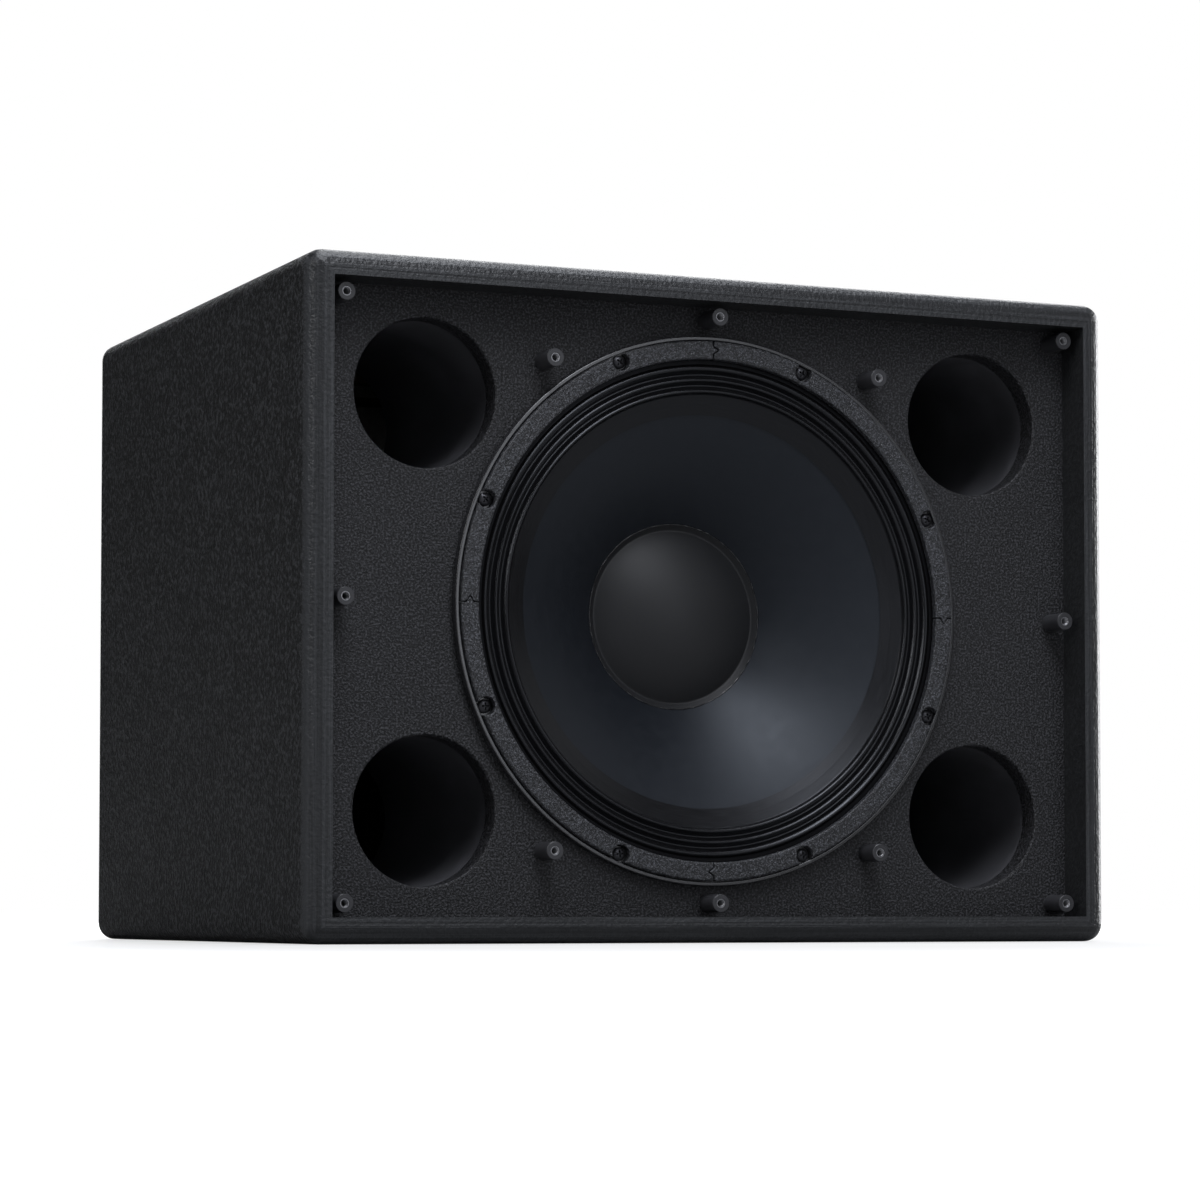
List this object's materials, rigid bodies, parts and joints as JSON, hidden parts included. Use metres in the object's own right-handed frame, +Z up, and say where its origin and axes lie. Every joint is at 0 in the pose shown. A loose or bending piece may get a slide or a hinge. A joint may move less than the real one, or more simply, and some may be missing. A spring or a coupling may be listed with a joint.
{
  "type": "vented loudspeaker cabinet",
  "caption": "Black plywood loudspeaker cabinet with rounded edges, a recessed baffle, a large cone woofer, round vent ducts and standoffs for a grille.",
  "frame": {"origin": "centre of the footprint, on the floor", "axes": "+Z up, the front with the woofer faces -Y, +X to the right as seen from the front"},
  "size_m": [0.616, 0.505, 0.467],
  "materials": {
    "shell_paint": "plywood under a hard, rolled black coating with a fine raised texture",
    "baffle_paint": "plywood under a fine black orange-peel coating",
    "duct_plastic": "black moulded plastic",
    "standoff_plastic": "black, painted over",
    "insert_steel": "zinc-plated, partly painted over",
    "frame_casting": "cast, black powder coat",
    "gasket_rubber": "dark grey, finely grained",
    "seal_foam": "black closed-cell strip",
    "black_steel": "black oxide steel",
    "zinc_steel": "bright zinc plate",
    "cone_paper": "charcoal pulp, slightly felted",
    "cap_paper": "charcoal pulp, pressed smooth",
    "doped_cloth": "black cloth under a satin sealing coat",
    "spider_cloth": "resin-stiffened cotton",
    "coil_former": "polyimide film",
    "coil_wire": "enamelled copper wire",
    "ferrite": "ground grey ferrite",
    "board_fibre": "phenolic board",
    "tab_brass": "tinned brass",
    "lead_braid": "braided copper over a textile core",
    "bare_plywood": "bare birch plywood",
    "plate_plastic": "black moulded plastic, fine grain",
    "socket_plastic": "black moulded plastic",
    "wire_red": "red insulation",
    "wire_black": "black insulation",
    "lining_felt": "off-white polyester felt"
  },
  "bodies": {
    "cabinet": {"top_panel": "shell_paint", "bottom_panel": "shell_paint", "left_side_panel": "shell_paint", "right_side_panel": "shell_paint", "baffle": "baffle_paint", "duct_upper_left": "duct_plastic", "duct_upper_right": "duct_plastic", "duct_lower_left": "duct_plastic", "duct_lower_right": "duct_plastic", "duct_screws": "black_steel", "grille_standoffs": "standoff_plastic", "standoff_inserts": "insert_steel", "woofer_rear_gasket": "seal_foam", "woofer_frame": "frame_casting", "gasket_upper_right": "gasket_rubber", "gasket_upper_left": "gasket_rubber", "gasket_lower_left": "gasket_rubber", "gasket_lower_right": "gasket_rubber", "woofer_screws": "black_steel", "t_nuts": "zinc_steel", "surround": "doped_cloth", "spider": "spider_cloth", "top_plate": "zinc_steel", "ferrite_magnet": "ferrite", "pole_yoke": "zinc_steel", "motor_bolts": "black_steel", "terminal_board": "board_fibre", "terminal_tabs": "tab_brass", "tinsel_leads": "lead_braid", "back_panel": "shell_paint", "back_panel_screws": "black_steel", "batten_top": "bare_plywood", "batten_bottom": "bare_plywood", "batten_left": "bare_plywood", "batten_right": "bare_plywood", "window_brace": "bare_plywood", "input_plate": "plate_plastic", "input_plate_screws": "black_steel", "input_socket": "socket_plastic", "link_socket": "socket_plastic", "socket_contacts": "tab_brass", "socket_screws": "black_steel", "speaker_wire_positive": "wire_red", "speaker_wire_negative": "wire_black", "link_wires": "wire_black", "lining_left": "lining_felt", "lining_right": "lining_felt", "lining_top": "lining_felt", "lining_back": "lining_felt"},
    "cone_assembly": {"woofer_cone": "cone_paper", "dust_cap": "cap_paper", "voice_coil_former": "coil_former", "voice_coil_winding": "coil_wire"}
  },
  "joints": [
    {"name": "cone_travel", "type": "slide", "parent": "cabinet", "child": "cone_assembly", "axis": [0, -1, 0], "range_m": [-0.008, 0.008], "stiffness_N_per_m": 4000, "deforming": ["surround", "spider", "tinsel_leads"]}
  ]
}
